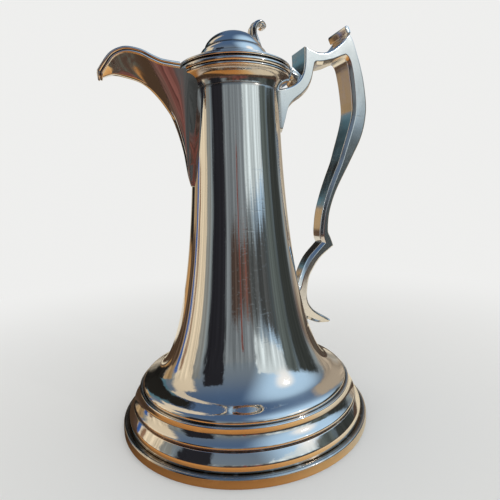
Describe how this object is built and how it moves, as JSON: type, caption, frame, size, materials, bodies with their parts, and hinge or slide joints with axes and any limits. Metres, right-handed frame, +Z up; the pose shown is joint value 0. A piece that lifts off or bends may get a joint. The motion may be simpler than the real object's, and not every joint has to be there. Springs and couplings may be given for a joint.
{
  "type": "lidded ewer",
  "caption": "Tall flared metal ewer on a stepped foot, with an open beak spout, a squared scroll handle and a hinged domed lid, for pouring drinks.",
  "frame": {"origin": "middle of the foot, on the surface that the ewer stands on", "axes": "+Z up along the barrel's axis, +X towards the handle, -X towards the spout's lip, Y along the lid's hinge pin"},
  "size_m": [0.2079, 0.184, 0.2981],
  "materials": {
    "spun_plate": "mirror-polished silver plate on spun sheet",
    "wire_plate": "polished silver plate on drawn mouldings",
    "cast_plate": "polished silver plate on castings, softly worn",
    "pin_metal": "plain bright pin"
  },
  "bodies": {
    "ewer": {"body_shell": "spun_plate", "base_plate": "spun_plate", "foot": "spun_plate", "foot_wire": "wire_plate", "mouth_ring": "wire_plate", "spout": "spun_plate", "spout_wire": "wire_plate", "handle_arm": "cast_plate", "handle_grip": "cast_plate", "handle_roll": "cast_plate", "handle_scroll": "cast_plate", "fixed_leaf": "cast_plate", "hinge_pin": "pin_metal"},
    "lid": {"lid_cover": "spun_plate", "lid_wire": "wire_plate", "lid_bezel": "wire_plate", "lid_leaf": "cast_plate", "thumbpiece": "cast_plate"}
  },
  "joints": [
    {"name": "lid_hinge", "type": "hinge", "parent": "ewer", "child": "lid", "pos_m": [0.0442, 0, 0.2599], "axis": [0, 1, 0], "range_deg": [0, 85]}
  ]
}
